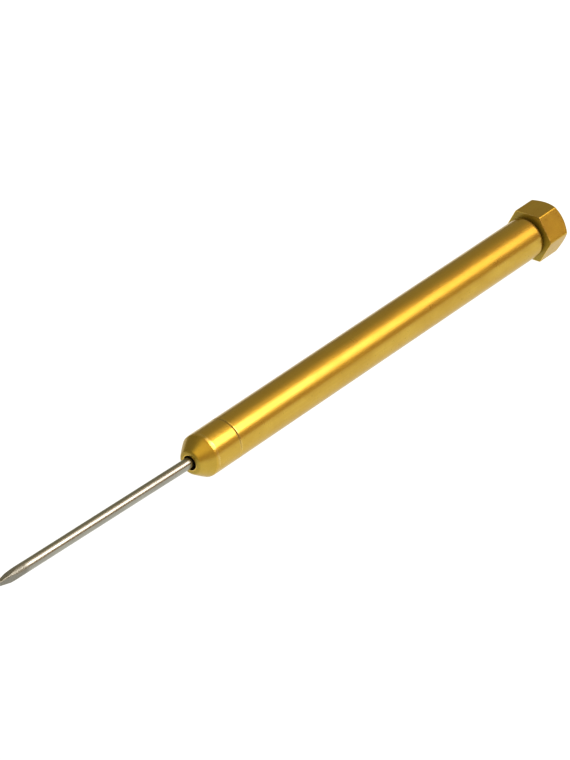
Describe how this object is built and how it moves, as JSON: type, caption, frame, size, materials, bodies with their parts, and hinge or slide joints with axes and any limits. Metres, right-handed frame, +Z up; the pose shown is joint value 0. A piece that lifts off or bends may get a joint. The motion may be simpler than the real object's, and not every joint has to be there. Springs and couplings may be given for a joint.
{
  "type": "pricking iron",
  "caption": "Automatic single-point pricking iron: a sharp steel spike in a long brass barrel with a conical nose and a hexagonal adjusting cap.",
  "frame": {"origin": "under the middle of the tool's length, on the plane of the hexagonal cap's lowest flat", "axes": "+X along the barrel from the spike's point to the cap, +Z up with the tool lying on one flat of the cap, +Y to the left when looking along +X"},
  "size_m": [0.2288, 0.0162, 0.014],
  "materials": {
    "barrel": "satin turned brass",
    "nose_cone": "satin turned brass",
    "hex_cap": "satin hexagonal brass bar",
    "end_bush": "turned brass",
    "spike": "ground and polished steel",
    "plunger": "hardened steel, turned",
    "plunger_pin": "spring steel",
    "trip_stem": "hardened steel, ground",
    "trip_sleeve": "hardened steel, reamed",
    "return_washer": "steel",
    "return_spring": "drawn spring wire",
    "hammer": "hardened steel, turned",
    "main_spring": "drawn spring wire",
    "spring_seat": "steel, turned",
    "thrust_ball": "polished steel ball",
    "adjusting_screw": "blacked steel",
    "friction_ring": "black rubber",
    "cap_grub_screw": "blacked steel"
  },
  "bodies": {
    "housing": {"barrel": "barrel", "nose_cone": "nose_cone", "trip_sleeve": "trip_sleeve", "end_bush": "end_bush", "friction_ring": "friction_ring", "return_spring": "return_spring", "main_spring": "main_spring"},
    "return_carriage": {"return_washer": "return_washer"},
    "spike_assembly": {"spike": "spike", "plunger": "plunger", "plunger_pin": "plunger_pin", "trip_stem": "trip_stem"},
    "striker": {"hammer": "hammer"},
    "seat": {"spring_seat": "spring_seat", "thrust_ball": "thrust_ball"},
    "cap": {"hex_cap": "hex_cap", "adjusting_screw": "adjusting_screw", "cap_grub_screw": "cap_grub_screw"}
  },
  "joints": [
    {"name": "spike_plunge", "type": "slide", "parent": "housing", "child": "return_carriage", "axis": [1, 0, 0], "range_m": [0, 0.008], "stiffness_N_per_m": 250, "springref_m": -0.006, "deforming": ["return_spring"]},
    {"name": "spike_centring", "type": "hinge", "parent": "return_carriage", "child": "spike_assembly", "pos_m": [-0.03243, 0, 0.007], "axis": [0, -0.7455, 0.6665], "range_deg": [0, 1.2]},
    {"name": "hammer_travel", "type": "slide", "parent": "housing", "child": "striker", "axis": [1, 0, 0], "range_m": [0, 0.008], "stiffness_N_per_m": 2000, "springref_m": -0.006, "deforming": ["main_spring"]},
    {"name": "seat_travel", "type": "slide", "parent": "housing", "child": "seat", "axis": [1, 0, 0], "range_m": [-0.0006, 0.004], "deforming": ["main_spring"]},
    {"name": "cap_turn", "type": "hinge", "parent": "seat", "child": "cap", "pos_m": [0.10542, 0, 0.007], "axis": [1, 0, 0], "range_deg": [-216, 1440]}
  ],
  "couplings": [
    {"joint": "spike_centring", "follows": "spike_plunge", "rad_per_m": 2.4435},
    {"joint": "hammer_travel", "follows": "spike_plunge", "ratio": 1},
    {"joint": "cap_turn", "follows": "seat_travel", "rad_per_m": 6283.2}
  ]
}
